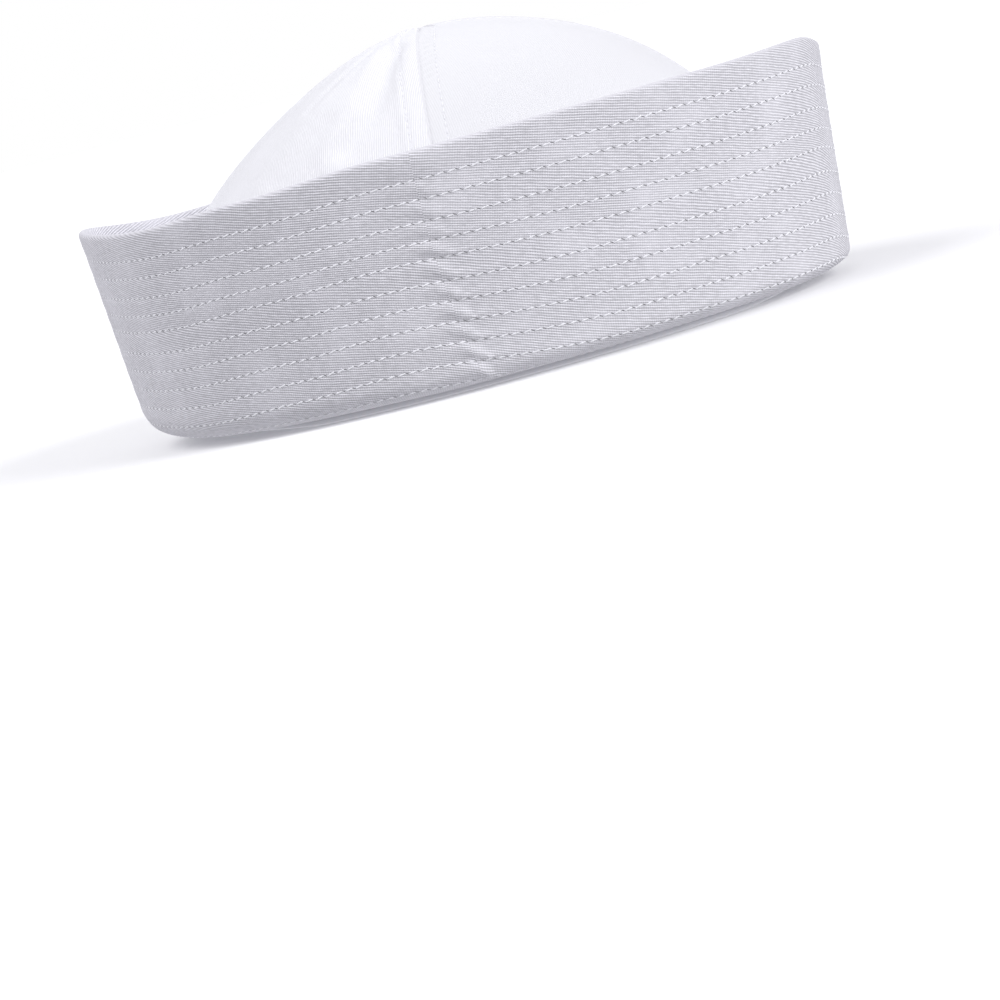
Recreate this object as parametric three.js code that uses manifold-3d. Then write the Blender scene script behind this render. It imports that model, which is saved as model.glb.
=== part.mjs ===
// A sailor's white cap: a round crown of four gores, a headband sewn inside its foot, and a deep brim
// of several stitched plies, made in two halves and turned straight up all round the crown.
// Millimetres. +Z is up, +X is the front and +Y the wearer's left; the origin is on the surface that
// the cap rests on, under its middle. Azimuths are degrees from the front towards the wearer's left.
import * as THREE from 'three';
import { mergeVertices } from 'three/addons/utils/BufferGeometryUtils.js';
import Module from 'manifold-3d';

const wasm = await Module();
wasm.setup();

// The head opening is an egg-shaped oval, measured outside the crown cloth and wider behind its middle.
const OPENING_HALF_LENGTH = 102;
const OPENING_HALF_WIDTH = 83;
const BACK_FULLNESS = 0.08;

const CROWN_HEIGHT = 103.9;
const CROWN_LEAN = 0.4; // how far the top of the crown sits forward of the middle
const CROWN_CLOTH = 1.1;
const SIDE_SEAM_AZIMUTH = 87; // from the back round to each of the crown's side seams

const BRIM_CLOTH = 2.4; // all the plies together
const BRIM_SEAM_OUTSET = -0.9; // where the brim's inner edge is sewn under the crown
const FOLD_PULL = 0.6; // fullness of the bottom fold: 0.55 is a quarter ellipse, 1 a sharp corner
const RIM_ROUNDING = 0.016; // share of the wall's height taken by its rounded top edge
const SIDE_SEAM_X = -3; // where the brim's side seams meet the resting surface
const SIDE_SEAM_SLANT = 4.3; // degrees that the side seams lean back as they rise

const BAND_CLOTH = 1.8;
const BAND_HEIGHT = 26;
const BAND_SLACK = 0.7; // play between the headband and the inside of the crown

const GAP = 0.3; // clearance between pieces that are sewn together

const COLUMNS = 60; // facets round the cap
const CROWN_ROWS = 11;
const FOLD_ROWS = 5;
const WALL_ROWS = 6;
const BAND_ROWS = 3;
const NOMINAL_RADIUS = 100; // round blank that every piece is bent from
const CUTTER_SIZE = 400;
const WELD_TOLERANCE = 1e-4;

// Heights above the resting surface and outsets from the opening's oval, at stations round the cap:
// the brim's rim and how far it flares, the foot of its wall, the height of the fold's corner,
// how far the fold is off the surface, and the lower edge of the headband.
const STATIONS = [
  { azimuth: 0, rim: 69.6, flare: 14.9, foot: 9.4, corner: 4.5, lift: 2.6, lip: 3.4 },
  { azimuth: 45, rim: 67, flare: 15.2, foot: 9.4, corner: 5, lift: 2.1, lip: 0 },
  { azimuth: 90, rim: 67.3, flare: 15.5, foot: 9.3, corner: 4.5, lift: 1.7, lip: 0 },
  { azimuth: 120, rim: 66.6, flare: 15.4, foot: 9.6, corner: 6.8, lift: 2, lip: 0 },
  { azimuth: 140, rim: 66.2, flare: 15.4, foot: 9.7, corner: 8, lift: 2.2, lip: 1.8 },
  { azimuth: 180, rim: 70.4, flare: 14.9, foot: 9.9, corner: 9.5, lift: 4.2, lip: 5.2 },
  { azimuth: 220, rim: 67.7, flare: 15.3, foot: 9.7, corner: 7.5, lift: 2.2, lip: 1.8 },
  { azimuth: 240, rim: 69.2, flare: 15.4, foot: 9.5, corner: 6.2, lift: 2, lip: 0 },
  { azimuth: 265, rim: 71.4, flare: 15.5, foot: 9.3, corner: 4.5, lift: 1.7, lip: 0 },
  { azimuth: 315, rim: 72.1, flare: 15.2, foot: 9.4, corner: 4.5, lift: 2.1, lip: 0 },
  { azimuth: 340, rim: 72.9, flare: 15, foot: 9.4, corner: 4.5, lift: 2.4, lip: 2 },
];

// Soft dents in the crown: middle and half widths in degrees of azimuth and elevation, depth in mm;
// a negative depth stands out.
const CROWN_DENTS = [
  { azimuth: 180, level: 60, halfAzimuth: 85, halfLevel: 30, depth: 3.3 }, // slack upper back
  { azimuth: 180, level: 26, halfAzimuth: 70, halfLevel: 15, depth: -3 }, // full lower back
  { azimuth: 0, level: 50, halfAzimuth: 85, halfLevel: 25, depth: -1 }, // full front
  { azimuth: 252, level: 60, halfAzimuth: 13, halfLevel: 30, depth: 1.1 }, // fold behind the right seam
  { azimuth: 108, level: 58, halfAzimuth: 14, halfLevel: 30, depth: 0.8 }, // fold behind the left seam
];

// Soft dents in the brim wall, with the level as a share of its height; a negative depth stands out.
const BRIM_DENTS = [
  { azimuth: 246, level: 0.25, halfAzimuth: 14, halfLevel: 0.4, depth: 0.9 }, // hollow by the right seam
  { azimuth: 266, level: 1.0, halfAzimuth: 9, halfLevel: 0.4, depth: -0.6 }, // right seam's thick top
  { azimuth: 94, level: 1.0, halfAzimuth: 9, halfLevel: 0.4, depth: -0.6 }, // left seam's thick top
  { azimuth: 205, level: 0.8, halfAzimuth: 18, halfLevel: 0.6, depth: 0.7 }, // slack back right
  { azimuth: 150, level: 0.8, halfAzimuth: 18, halfLevel: 0.6, depth: 0.7 }, // slack back left
];

/** Value of one column of STATIONS at an azimuth, eased from station to station. */
function around(column, azimuth) {
  const turn = THREE.MathUtils.euclideanModulo(azimuth, 360);
  const lower = STATIONS.findLast((station) => station.azimuth <= turn);
  const following = STATIONS[STATIONS.indexOf(lower) + 1];
  const upper = following ?? { ...STATIONS[0], azimuth: 360 };
  const share = THREE.MathUtils.smoothstep(turn, lower.azimuth, upper.azimuth);
  return THREE.MathUtils.lerp(lower[column], upper[column], share);
}

/** Smooth hump, 1 in its middle and 0 from one half width away. */
function hump(distance, halfWidth) {
  return Math.max(0, 1 - (distance / halfWidth) ** 2) ** 2;
}

/** Depth of all the dents in a table at one place. */
function dentDepth(dents, azimuth, level) {
  let depth = 0;
  for (const dent of dents) {
    const turn = THREE.MathUtils.euclideanModulo(azimuth - dent.azimuth + 180, 360) - 180;
    depth += dent.depth * hump(turn, dent.halfAzimuth) * hump(level - dent.level, dent.halfLevel);
  }
  return depth;
}

/** Point on the oval, set out from the opening, scaled towards the middle by reach. */
function ovalPoint(azimuth, outset, reach, height) {
  const angle = THREE.MathUtils.degToRad(azimuth);
  const width = (OPENING_HALF_WIDTH + outset) * (1 - BACK_FULLNESS * Math.cos(angle));
  const length = OPENING_HALF_LENGTH + outset;
  return new THREE.Vector3(length * Math.cos(angle) * reach, width * Math.sin(angle) * reach, height);
}

/** Point of the domed crown at an elevation in degrees, depth under its outer face. */
function crownPoint(azimuth, elevation, depth) {
  const angle = THREE.MathUtils.degToRad(elevation);
  const outset = -depth - dentDepth(CROWN_DENTS, azimuth, elevation);
  const height = (CROWN_HEIGHT + outset) * Math.sin(angle);
  const point = ovalPoint(azimuth, outset, Math.cos(angle), height);
  point.x += CROWN_LEAN * Math.sin(angle);
  return point;
}

/** Elevation on the crown, depth under its outer face, at a height above the resting surface. */
function elevationAt(height, depth) {
  return THREE.MathUtils.radToDeg(Math.asin(height / (CROWN_HEIGHT - depth)));
}

/** Bends a blank's point into a gore: rise runs from 0 at the crown's foot to 1 at its top. */
function bendCrown(azimuth, rise, depth) {
  const foot = elevationAt(around('lift', azimuth) + BRIM_CLOTH + GAP, depth);
  return crownPoint(azimuth, THREE.MathUtils.lerp(foot, 90, rise), depth);
}

/** Bends a blank's point into the headband: rise runs from 0 at its lower edge to 1 at its top. */
function bendBand(azimuth, rise, depth) {
  const under = CROWN_CLOTH + BAND_SLACK + depth;
  const height = THREE.MathUtils.lerp(around('lip', azimuth), BAND_HEIGHT, rise);
  return crownPoint(azimuth, elevationAt(height, under), under);
}

/** Bends a blank's point into the brim: rise runs from 0 to 1 round the fold and 1 to 2 up the wall. */
function bendBrim(azimuth, rise, depth) {
  const lift = around('lift', azimuth);
  const foot = around('foot', azimuth);
  const corner = around('corner', azimuth);
  const seam = new THREE.Vector2(BRIM_SEAM_OUTSET, lift);
  const heel = new THREE.Vector2(foot, lift + corner);
  const top = new THREE.Vector2(around('flare', azimuth), around('rim', azimuth));
  const up = top.clone().sub(heel).normalize();
  const underFold = new THREE.Vector2(seam.x + FOLD_PULL * (foot - seam.x), lift);
  const behindFold = heel.clone().addScaledVector(up, -FOLD_PULL * corner);
  const fold = new THREE.CubicBezierCurve(seam, underFold, behindFold, heel);
  const inFold = rise <= 1;
  const place = inFold ? fold.getPoint(rise) : heel.clone().lerp(top, rise - 1);
  const along = inFold ? fold.getTangent(rise) : up;
  place.x -= along.y * depth;
  place.y += along.x * depth;
  place.x -= inFold ? 0 : dentDepth(BRIM_DENTS, azimuth, rise - 1) * hump(2 - rise, 1);
  return ovalPoint(azimuth, place.x, 1, place.y);
}

/** Closed solid from a geometry, with its doubled vertices welded and its flat triangles dropped. */
function solidFrom(geometry) {
  geometry.deleteAttribute('normal');
  geometry.deleteAttribute('uv');
  const welded = mergeVertices(geometry, WELD_TOLERANCE);
  const corners = welded.index.array;
  const triangles = [];
  for (let first = 0; first < corners.length; first += 3) {
    const [a, b, c] = corners.slice(first, first + 3);
    if (a !== b && b !== c && c !== a) triangles.push(a, b, c);
  }
  return new wasm.Manifold(new wasm.Mesh({
    numProp: 3,
    vertProperties: new Float32Array(welded.attributes.position.array),
    triVerts: new Uint32Array(triangles),
  }));
}

/** Spins a blank's profile, whose points are (radius, rise), and bends it into the cap's shape. */
function bentSolid(profile, bend) {
  const blank = new THREE.LatheGeometry(profile, COLUMNS).rotateX(Math.PI / 2);
  const position = blank.attributes.position;
  for (let index = 0; index < position.count; index += 1) {
    const point = new THREE.Vector3().fromBufferAttribute(position, index);
    const azimuth = THREE.MathUtils.radToDeg(Math.atan2(point.y, point.x));
    const depth = NOMINAL_RADIUS - Math.hypot(point.x, point.y);
    const bent = bend(azimuth, point.z, depth);
    position.setXYZ(index, bent.x, bent.y, bent.z);
  }
  return solidFrom(blank);
}

/** Points up a face of a blank, from one rise to another, at a depth under its outer face. */
function facePoints(depth, fromRise, toRise, rows) {
  const points = [];
  for (let row = 0; row <= rows; row += 1) {
    const rise = THREE.MathUtils.lerp(fromRise, toRise, row / rows);
    points.push(new THREE.Vector2(NOMINAL_RADIUS - depth, rise));
  }
  return points;
}

/** The whole domed crown, a shell open at its foot. */
function crownSolid() {
  const outer = facePoints(0, 0, 1, CROWN_ROWS);
  const inner = facePoints(CROWN_CLOTH, 1, 0, CROWN_ROWS);
  return bentSolid([...outer, ...inner, outer[0]], bendCrown);
}

/** The whole brim: a ribbon bent up through the fold, with a rounded top edge. */
function brimSolid() {
  const shoulder = 2 - RIM_ROUNDING;
  const outer = [...facePoints(0, 0, 1, FOLD_ROWS), ...facePoints(0, 1, shoulder, WALL_ROWS).slice(1)];
  const rim = facePoints(BRIM_CLOTH * 0.3, 2, 2, 1).slice(1);
  rim.push(...facePoints(BRIM_CLOTH * 0.7, 2, 2, 1).slice(1));
  const wallInside = facePoints(BRIM_CLOTH, shoulder, 1, WALL_ROWS);
  const foldInside = facePoints(BRIM_CLOTH, 1, 0, FOLD_ROWS).slice(1);
  return bentSolid([...outer, ...rim, ...wallInside, ...foldInside, outer[0]], bendBrim);
}

/** The headband: a plain ribbon against the inside of the crown's foot. */
function bandSolid() {
  const outer = facePoints(0, 0, 1, BAND_ROWS);
  const inner = facePoints(BAND_CLOTH, 1, 0, BAND_ROWS);
  return bentSolid([...outer, ...inner, outer[0]], bendBand);
}

/** Level direction at an azimuth in degrees. */
function heading(azimuth) {
  const angle = THREE.MathUtils.degToRad(azimuth);
  return new THREE.Vector2(Math.cos(angle), Math.sin(angle));
}

/** Wedge that keeps the crown between two seams, half a gap from each; azimuths in degrees. */
function goreWedge(fromAzimuth, toAzimuth) {
  const from = heading(fromAzimuth);
  const to = heading(toAzimuth);
  const middle = from.clone().add(to).normalize();
  const tip = middle.clone().multiplyScalar(GAP / 2 / middle.cross(to));
  const corners = [
    tip,
    tip.clone().addScaledVector(from, CUTTER_SIZE),
    tip.clone().addScaledVector(middle, CUTTER_SIZE * 2),
    tip.clone().addScaledVector(to, CUTTER_SIZE),
  ];
  const settings = { depth: CUTTER_SIZE, bevelEnabled: false };
  const wedge = new THREE.ExtrudeGeometry(new THREE.Shape(corners), settings);
  return solidFrom(wedge.translate(0, 0, -CUTTER_SIZE / 2));
}

/** Block that keeps the front or back half of the brim, half a gap from the slanted side seams. */
function halfBlock(frontSign) {
  const block = new THREE.BoxGeometry(CUTTER_SIZE, CUTTER_SIZE, CUTTER_SIZE);
  block.translate(frontSign * (CUTTER_SIZE + GAP) / 2, 0, 0);
  block.rotateY(THREE.MathUtils.degToRad(-SIDE_SEAM_SLANT));
  return solidFrom(block.translate(SIDE_SEAM_X, 0, 0));
}

/** Named mesh of one piece of cotton twill. */
function clothPiece(name, solid, color) {
  const { vertProperties, triVerts } = solid.getMesh();
  const geometry = new THREE.BufferGeometry();
  geometry.setAttribute('position', new THREE.BufferAttribute(new Float32Array(vertProperties), 3));
  geometry.setIndex(new THREE.BufferAttribute(new Uint32Array(triVerts), 1));
  geometry.computeVertexNormals();
  const material = new THREE.MeshStandardMaterial({ color, roughness: 0.9, metalness: 0 });
  const mesh = new THREE.Mesh(geometry, material);
  mesh.name = name;
  return mesh;
}

const GORES = [
  { name: 'crown_gore_front_left', from: 0, to: 180 - SIDE_SEAM_AZIMUTH },
  { name: 'crown_gore_back_left', from: 180 - SIDE_SEAM_AZIMUTH, to: 180 },
  { name: 'crown_gore_back_right', from: 180, to: 180 + SIDE_SEAM_AZIMUTH },
  { name: 'crown_gore_front_right', from: 180 + SIDE_SEAM_AZIMUTH, to: 360 },
];

const BRIM_HALVES = [
  { name: 'brim_front', front: 1 },
  { name: 'brim_back', front: -1 },
];

const cap = new THREE.Group();
const crown = crownSolid();
for (const gore of GORES) {
  cap.add(clothPiece(gore.name, crown.intersect(goreWedge(gore.from, gore.to)), '#f4f4f8'));
}
const brim = brimSolid();
for (const half of BRIM_HALVES) {
  cap.add(clothPiece(half.name, brim.intersect(halfBlock(half.front)), '#e6e6ee'));
}
cap.add(clothPiece('headband', bandSolid(), '#eeeef4'));

export default cap;
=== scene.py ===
"""A sailor's white cotton cap at rest on a pale floor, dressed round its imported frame.

The cap is a round crown of four gores, a headband inside its foot, and a deep brim quilted by rows of
stitching and turned straight up. Lengths are in metres: +Z is up, +X the cap's front and +Y the
wearer's left. Azimuths and elevations are degrees, azimuths from the front towards the wearer's left.
"""

import logging
import math
import random
from bisect import bisect_right
from dataclasses import dataclass, field
from enum import Enum
from typing import Callable

import bmesh
import bpy
from mathutils import Matrix, Vector
from mathutils.geometry import interpolate_bezier, intersect_point_line


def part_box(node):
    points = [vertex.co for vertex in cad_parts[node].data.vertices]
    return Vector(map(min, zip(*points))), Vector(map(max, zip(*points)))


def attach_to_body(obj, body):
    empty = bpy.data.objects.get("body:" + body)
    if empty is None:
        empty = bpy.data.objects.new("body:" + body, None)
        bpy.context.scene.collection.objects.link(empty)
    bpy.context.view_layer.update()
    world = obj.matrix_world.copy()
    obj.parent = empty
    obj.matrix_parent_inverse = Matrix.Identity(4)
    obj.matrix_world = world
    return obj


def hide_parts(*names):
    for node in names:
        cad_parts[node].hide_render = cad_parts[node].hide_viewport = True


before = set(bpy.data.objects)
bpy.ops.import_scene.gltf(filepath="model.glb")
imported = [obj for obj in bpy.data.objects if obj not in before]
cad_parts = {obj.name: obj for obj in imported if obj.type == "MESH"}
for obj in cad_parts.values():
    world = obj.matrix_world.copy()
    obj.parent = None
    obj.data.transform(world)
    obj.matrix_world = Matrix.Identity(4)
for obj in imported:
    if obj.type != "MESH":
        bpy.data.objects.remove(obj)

LOG = logging.getLogger("sailor_cap")
MM = 0.001
BODY = "root"
CLOTH_UV = "cloth"


# ---------------------------------------------------------------------------------------------------
# Measuring helpers
# ---------------------------------------------------------------------------------------------------


def mix(low: float, high: float, share: float) -> float:
    """Value a share of the way from low to high."""
    return low + (high - low) * share


def ease(share: float) -> float:
    """Smooth step from 0 to 1, held at its ends."""
    held = min(max(share, 0.0), 1.0)
    return held * held * (3 - 2 * held)


def hump(distance: float, half_width: float) -> float:
    """Smooth hump, 1 in its middle and 0 from one half width away."""
    return max(0.0, 1 - (distance / half_width) ** 2) ** 2


def bell(distance: float, width: float) -> float:
    """Bell curve, 1 in its middle, that never quite ends."""
    return math.exp(-((distance / width) ** 2))


def turn(azimuth: float, other: float) -> float:
    """Signed turn from another azimuth to this one, between -180 and 180 degrees."""
    return (azimuth - other + 180) % 360 - 180


# ---------------------------------------------------------------------------------------------------
# The cap's form
# ---------------------------------------------------------------------------------------------------


@dataclass(frozen=True)
class Station:
    """Heights and outsets of the brim at one azimuth, in millimetres.

    rim and flare place the top of the wall, foot its bottom, corner is the height of the fold's
    corner, lift is how far the fold is off the floor, and lip is the headband's lower edge.
    """

    azimuth: float
    rim: float
    flare: float
    foot: float
    corner: float
    lift: float
    lip: float


STATIONS = (
    Station(0, 69.6, 14.9, 9.4, 4.5, 2.6, 3.4),
    Station(45, 67, 15.2, 9.4, 5, 2.1, 0),
    Station(90, 67.3, 15.5, 9.3, 4.5, 1.7, 0),
    Station(120, 66.6, 15.4, 9.6, 6.8, 2, 0),
    Station(140, 66.2, 15.4, 9.7, 8, 2.2, 1.8),
    Station(180, 70.4, 14.9, 9.9, 9.5, 4.2, 5.2),
    Station(220, 67.7, 15.3, 9.7, 7.5, 2.2, 1.8),
    Station(240, 69.2, 15.4, 9.5, 6.2, 2, 0),
    Station(265, 71.4, 15.5, 9.3, 4.5, 1.7, 0),
    Station(315, 72.1, 15.2, 9.4, 4.5, 2.1, 0),
    Station(340, 72.9, 15, 9.4, 4.5, 2.4, 2),
)


@dataclass(frozen=True)
class Dent:
    """A soft dent, or a bulge where its depth is negative.

    The level is an elevation on the crown, or a share of the wall's height on the brim.
    """

    azimuth: float
    level: float
    half_azimuth: float
    half_level: float
    depth: float

    def at(self, azimuth: float, level: float) -> float:
        """Depth of the dent at one place, in metres."""
        across = hump(turn(azimuth, self.azimuth), self.half_azimuth)
        return self.depth * MM * across * hump(level - self.level, self.half_level)


# How far each row of the brim's stitching strays towards the rim from an even pitch, in millimetres.
ROW_SLIPS = (0, 0.4, 0.1, 0.5, 1.3, 0.5, 0.5, 0.4, 0.3, 0.3, 0)

CROWN_DENTS = (
    Dent(180, 60, 85, 30, 3.3),  # slack upper back
    Dent(180, 26, 70, 15, -3.0),  # full lower back
    Dent(0, 50, 85, 25, -1.0),  # full front
    Dent(252, 60, 13, 30, 1.1),  # fold behind the right seam
    Dent(108, 58, 14, 30, 0.8),  # fold behind the left seam
)
BRIM_DENTS = (
    Dent(246, 0.25, 14, 0.4, 0.9),  # hollow by the right seam
    Dent(266, 1.0, 9, 0.4, -0.6),  # right seam's thick top
    Dent(94, 1.0, 9, 0.4, -0.6),  # left seam's thick top
    Dent(205, 0.8, 18, 0.6, 0.7),  # slack back right
    Dent(150, 0.8, 18, 0.6, 0.7),  # slack back left
)


@dataclass
class CapForm:
    """The oval opening, the domed crown and the leaning side seams that every piece is cut to."""

    half_length: float
    half_width: float
    crown_height: float
    band_top: float
    back_fullness: float = 0.08
    crown_lean: float = 0.4 * MM
    crown_cloth: float = 1.1 * MM
    brim_cloth: float = 2.4 * MM
    band_cloth: float = 1.8 * MM
    band_slack: float = 0.7 * MM
    brim_seam_outset: float = -0.9 * MM
    fold_pull: float = 0.6
    side_seam_slant: float = math.tan(math.radians(4.3))
    side_seam_bow: float = 2.4 * MM
    bow_height: float = 68 * MM

    @classmethod
    def from_frame(cls) -> "CapForm":
        """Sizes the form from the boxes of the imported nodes.

        Returns:
            The form that fits them.
        """
        band_low, band_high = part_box("headband")
        brim_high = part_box("brim_front")[1]
        crown_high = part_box("crown_gore_front_left")[1]
        angles = [math.radians(degrees) for degrees in range(180)]
        widest = max(math.sin(angle) * (1 - cls.back_fullness * math.cos(angle)) for angle in angles)
        band_depth = cls.crown_cloth + cls.band_slack
        half_width = (band_high.y - band_low.y) / 2 / widest + band_depth
        return cls(brim_high.x - STATIONS[0].flare * MM, half_width, crown_high.z, band_high.z)

    def around(self, column: str, azimuth: float) -> float:
        """Value of one column of the stations at an azimuth, eased from station to station.

        Args:
            column: Name of a Station's field.
            azimuth: Place round the cap, in degrees.

        Returns:
            The value there, in metres.
        """
        place = azimuth % 360
        index = bisect_right([station.azimuth for station in STATIONS], place) - 1
        lower = STATIONS[index]
        upper = STATIONS[(index + 1) % len(STATIONS)]
        span = (upper.azimuth - lower.azimuth) % 360
        share = ease((place - lower.azimuth) / span)
        return mix(getattr(lower, column), getattr(upper, column), share) * MM

    def oval_point(self, azimuth: float, outset: float, reach: float, height: float) -> Vector:
        """Point on an oval about the opening.

        Args:
            azimuth: Place round the cap, in degrees.
            outset: Distance out from the opening.
            reach: Share of the way out from the middle.
            height: Height over the floor.

        Returns:
            The point.
        """
        angle = math.radians(azimuth)
        width = (self.half_width + outset) * (1 - self.back_fullness * math.cos(angle))
        length = self.half_length + outset
        return Vector((length * math.cos(angle) * reach, width * math.sin(angle) * reach, height))

    def crown_point(self, azimuth: float, elevation: float, depth: float) -> Vector:
        """Point of the domed crown, without its sewing.

        Args:
            azimuth: Place round the cap, in degrees.
            elevation: Height on the dome, in degrees.
            depth: Depth under the outer face.

        Returns:
            The point.
        """
        angle = math.radians(elevation)
        outset = -depth - sum(dent.at(azimuth, elevation) for dent in CROWN_DENTS)
        height = (self.crown_height + outset) * math.sin(angle)
        point = self.oval_point(azimuth, outset, math.cos(angle), height)
        point.x += self.crown_lean * math.sin(angle)
        return point

    def elevation_at(self, height: float, depth: float) -> float:
        """Elevation on the crown, depth under its outer face, at a height over the floor."""
        return math.degrees(math.asin(height / (self.crown_height - depth)))

    def brim_point(self, azimuth: float, outset: float, height: float) -> Vector:
        """Point of the brim.

        Args:
            azimuth: Place round its foot, in degrees.
            outset: Distance out from the opening.
            height: Height over the floor.

        Returns:
            The point, which leans back beside the side seams as they do.
        """
        sine = math.sin(math.radians(azimuth))
        back = self.side_seam_slant * height
        back += self.side_seam_bow * math.sin(math.pi * height / self.bow_height)
        lean = back / (self.half_length + outset) * sine * abs(sine)
        return self.oval_point(azimuth + math.degrees(lean), outset, 1.0, height)


class Tape:
    """Measures lengths of cloth round an oval, from its front towards the wearer's left."""

    STEPS = 1440

    def __init__(self, form: CapForm, outset: float) -> None:
        """Lays the tape round an oval.

        Args:
            form: The cap's form.
            outset: Distance of the tape out from the opening.
        """
        self.lengths = [0.0]
        before = form.oval_point(0, outset, 1, 0)
        for step in range(1, self.STEPS + 1):
            after = form.oval_point(step * 360 / self.STEPS, outset, 1, 0)
            self.lengths.append(self.lengths[-1] + (after - before).length)
            before = after
        self.round = self.lengths[-1]

    def length_at(self, azimuth: float) -> float:
        """Length of cloth from the front to an azimuth.

        Args:
            azimuth: Place round the cap, in degrees.

        Returns:
            The length, negative where the azimuth is.
        """
        turns, rest = divmod(azimuth, 360)
        step = min(int(rest * self.STEPS / 360), self.STEPS - 1)
        share = rest * self.STEPS / 360 - step
        return turns * self.round + mix(self.lengths[step], self.lengths[step + 1], share)

    def azimuth_at(self, length: float) -> float:
        """Azimuth at a length of cloth from the front.

        Args:
            length: The length.

        Returns:
            The azimuth, in degrees.
        """
        turns, rest = divmod(length, self.round)
        step = min(bisect_right(self.lengths, rest) - 1, self.STEPS - 1)
        share = (rest - self.lengths[step]) / (self.lengths[step + 1] - self.lengths[step])
        return turns * 360 + (step + share) * 360 / self.STEPS


# ---------------------------------------------------------------------------------------------------
# Shader writing
# ---------------------------------------------------------------------------------------------------

Settings = dict[str, object]
Inputs = dict[str | int, object]


class Bench:
    """Lays out the nodes of one material, world or light."""

    def __init__(self, tree: bpy.types.NodeTree) -> None:
        """Starts from an empty tree."""
        self.tree = tree
        tree.nodes.clear()

    def node(self, kind: str, settings: Settings, inputs: Inputs) -> bpy.types.Node:
        """Adds a node.

        Args:
            kind: The node's type name.
            settings: Its own properties, which are set first.
            inputs: Values, or wires to link, by socket name or index.

        Returns:
            The node.
        """
        made = self.tree.nodes.new(kind)
        for name, value in settings.items():
            setattr(made, name, value)
        for socket, value in inputs.items():
            if isinstance(value, Wire):
                self.tree.links.new(value.socket, made.inputs[socket])
            else:
                made.inputs[socket].default_value = value
        return made

    def wire(self, kind: str, settings: Settings, inputs: Inputs, output: str | int = 0) -> "Wire":
        """Adds a node and returns the wire that leaves one of its outputs."""
        return Wire(self, self.node(kind, settings, inputs).outputs[output])

    def blend(self, low: object, high: object, factor: "Wire") -> "Wire":
        """Mixes two colours by a factor from 0 to 1."""
        settings = {"data_type": "RGBA", "blend_type": "MIX", "clamp_factor": True}
        return self.wire("ShaderNodeMix", settings, {0: factor, 6: low, 7: high}, 2)

    def noise(self, place: "Wire", scale: float, detail: float) -> "Wire":
        """Soft noise about 0.5, with so many patches to the unit of place."""
        return self.wire("ShaderNodeTexNoise", {}, {"Vector": place, "Scale": scale, "Detail": detail})

    def bump(self, height: "Wire", relief: float, strength: float) -> "Wire":
        """Normal of a surface whose height runs over a relief."""
        inputs = {"Strength": strength, "Distance": relief, "Height": height}
        return self.wire("ShaderNodeBump", {}, inputs)

    def coat(self, colour: "Wire", roughness: float, gloss: float, bump: "Wire") -> None:
        """Ends a material with one shader.

        Args:
            colour: Its base colour.
            roughness: How matt it is.
            gloss: Its specular level.
            bump: Its normal.
        """
        inputs = {"Base Color": colour, "Normal": bump}
        inputs |= {"Roughness": roughness, "Specular IOR Level": gloss}
        shader = self.wire("ShaderNodeBsdfPrincipled", {}, inputs)
        self.node("ShaderNodeOutputMaterial", {}, {"Surface": shader})


class Wire:
    """A number that flows through the shader, written as a Python value."""

    def __init__(self, bench: Bench, socket: bpy.types.NodeSocket) -> None:
        """Wraps an output socket of a node on the bench."""
        self.bench = bench
        self.socket = socket

    def maths(self, operation: str, *operands: object) -> "Wire":
        """Passes operands through one Math node."""
        return self.bench.wire("ShaderNodeMath", {"operation": operation}, dict(enumerate(operands)))

    def __add__(self, other: object) -> "Wire":
        """Sum."""
        return self.maths("ADD", self, other)

    def __sub__(self, other: object) -> "Wire":
        """Difference."""
        return self.maths("SUBTRACT", self, other)

    def __rsub__(self, other: object) -> "Wire":
        """Difference from a plain number."""
        return self.maths("SUBTRACT", other, self)

    def __mul__(self, other: object) -> "Wire":
        """Product."""
        return self.maths("MULTIPLY", self, other)

    def __truediv__(self, other: object) -> "Wire":
        """Quotient."""
        return self.maths("DIVIDE", self, other)

    __radd__ = __add__
    __rmul__ = __mul__

    def cosine(self) -> "Wire":
        """Cosine of an angle in radians."""
        return self.maths("COSINE", self)

    def floored(self) -> "Wire":
        """Whole number below."""
        return self.maths("FLOOR", self)

    def over(self, limit: float) -> "Wire":
        """1 above a limit and 0 below it."""
        return self.maths("GREATER_THAN", self, limit)

    def at_least(self, limit: float) -> "Wire":
        """Larger of this and a limit."""
        return self.maths("MAXIMUM", self, limit)

    def from_nearest_mark(self, pitch: float) -> "Wire":
        """Signed distance from the nearest of marks one pitch apart."""
        return self - (self / pitch + 0.5).floored() * pitch


# ---------------------------------------------------------------------------------------------------
# Finishes
# ---------------------------------------------------------------------------------------------------

Colour = tuple[float, float, float, float]


def dimmed(colour: Colour, share: float) -> Colour:
    """A colour with a share of its brightness."""
    return (colour[0] * share, colour[1] * share, colour[2] * share, colour[3])


def started(name: str) -> tuple[bpy.types.Material, Bench]:
    """Starts a material.

    Args:
        name: The material's name.

    Returns:
        The material, and the empty bench that it is written on.
    """
    made = bpy.data.materials.new(name)
    made.use_nodes = True
    return made, Bench(made.node_tree)


@dataclass(frozen=True)
class StitchGrid:
    """Where needle holes lie on quilted cloth: rows down from the rim and holes along each row.

    Each hole is a slit of the half length and half height given, whose slant is its fall along it.
    """

    first_row: float = 8.4 * MM
    row_pitch: float = 6.2 * MM
    row_count: int = 11
    hole_pitch: float = 3.4 * MM
    hole_half_length: float = 0.72 * MM
    hole_half_height: float = 0.17 * MM
    hole_slant: float = 0.62
    # Painted shade that darkens each needle hole's slit, as the shade in the hole and beside its
    # stitch would.
    hole_painted_shade: float = 0.31
    hole_depth: float = 2.5

    def row(self, index: int) -> float:
        """Distance of a row down from the rim."""
        return self.first_row + index * self.row_pitch


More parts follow.
